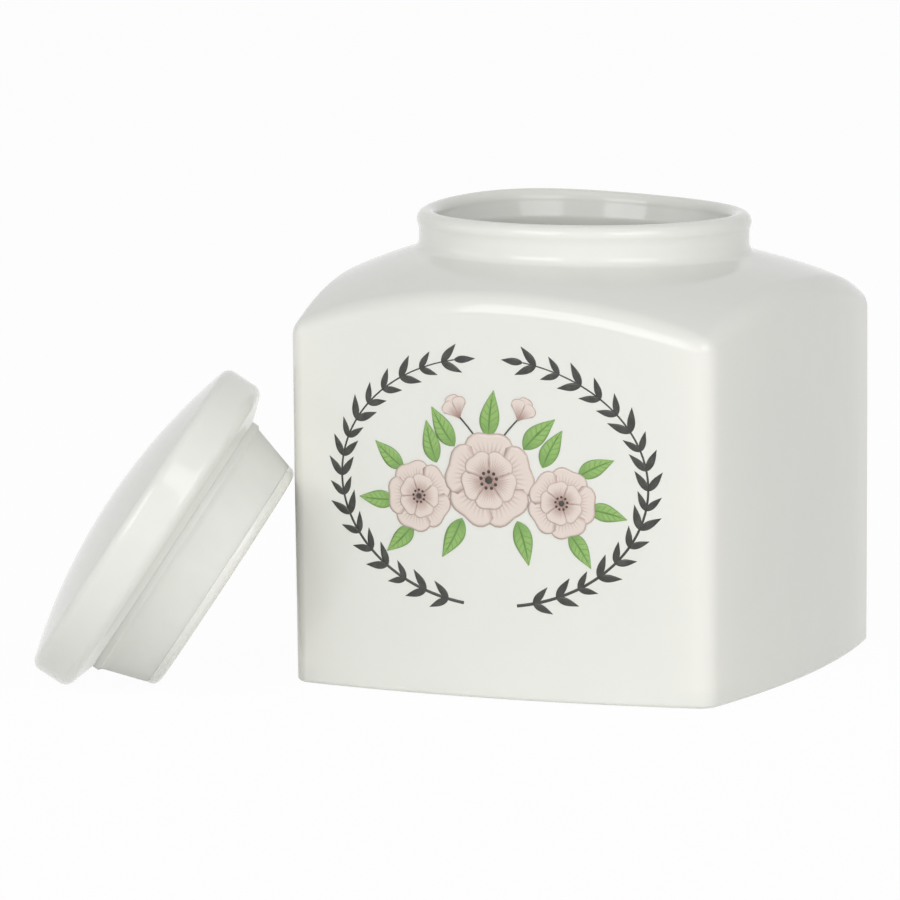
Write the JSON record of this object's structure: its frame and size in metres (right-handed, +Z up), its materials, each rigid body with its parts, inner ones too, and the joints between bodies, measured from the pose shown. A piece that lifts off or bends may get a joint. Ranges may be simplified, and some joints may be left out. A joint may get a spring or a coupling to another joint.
{
  "type": "garlic keeper",
  "caption": "Square porcelain storage jar with bowed sides, a domed shoulder and a round neck, and a sealed plug lid that lies off it, leaning on a corner.",
  "frame": {"origin": "centre of the jar's foot, on the table", "axes": "+Z up along the jar's axis through the mouth, +X to the jar's right, -Y towards the printed front face"},
  "size_m": [0.1814, 0.1681, 0.115],
  "materials": {
    "jar_porcelain": "glossy white glaze over cast porcelain, with a fired-on print on the front",
    "lid_porcelain": "glossy white glaze over cast porcelain",
    "seal_silicone": "satin, milky translucent silicone"
  },
  "bodies": {
    "jar": {"jar": "jar_porcelain"},
    "lid": {"lid": "lid_porcelain", "lid_seal": "seal_silicone"}
  },
  "joints": [
    {"name": "lid_lift", "type": "slide", "parent": "jar", "child": "lid", "axis": [-0.2416, -0.0928, 0.9659], "range_m": [0, 0.125]}
  ]
}
